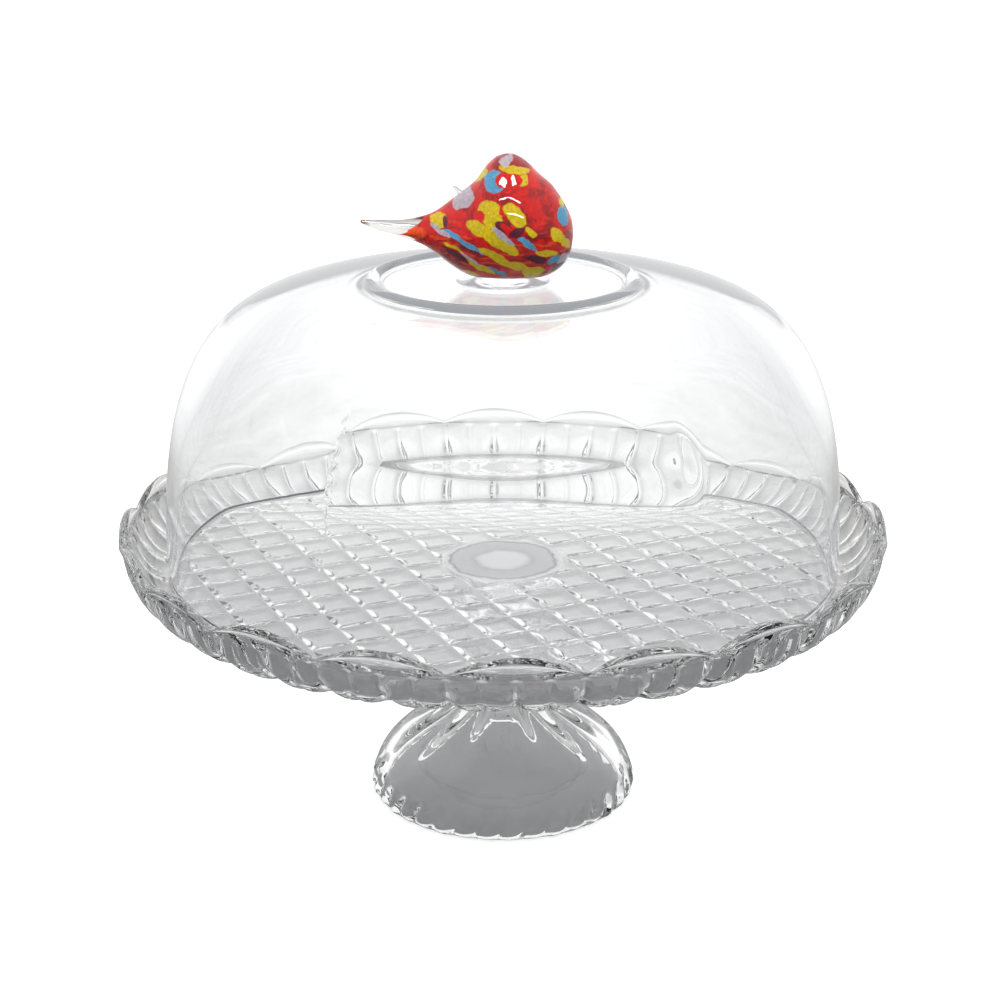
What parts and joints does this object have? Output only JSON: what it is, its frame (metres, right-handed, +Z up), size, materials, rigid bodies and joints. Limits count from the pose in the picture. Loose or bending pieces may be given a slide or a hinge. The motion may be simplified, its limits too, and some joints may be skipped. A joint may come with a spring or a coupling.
{
  "type": "footed cake stand with dome",
  "caption": "Round pressed-glass cake stand with a scalloped rim and a quilted base, on a bell foot, under a clear glass dome lifted by a glass bird finial.",
  "frame": {"origin": "on the foot's axis, at the surface the stand rests on", "axes": "+Z up along the foot's axis, -Y towards the front, -X along the bird's tail"},
  "size_m": [0.3048, 0.3048, 0.2636],
  "materials": {
    "plate_glass": "clear pressed glass, fire polished",
    "foot_glass": "clear pressed glass, fire polished",
    "adhesive": "clear cured adhesive",
    "dome_glass": "clear thin glass, polished",
    "pad_glass": "clear glass, polished",
    "bird_glass": "opaque red art glass with yellow, blue, lilac and maroon flecks",
    "casing_glass": "clear glass gathered over the colour, polished"
  },
  "bodies": {
    "stand": {"plate": "plate_glass", "foot": "foot_glass", "foot_bond": "adhesive"},
    "lid": {"dome": "dome_glass", "finial_pad": "pad_glass", "bird_core": "bird_glass", "bird_casing": "casing_glass"}
  },
  "joints": [
    {"name": "dome_lift", "type": "slide", "parent": "stand", "child": "lid", "axis": [0, 0, 1], "range_m": [0, 0.2]}
  ]
}
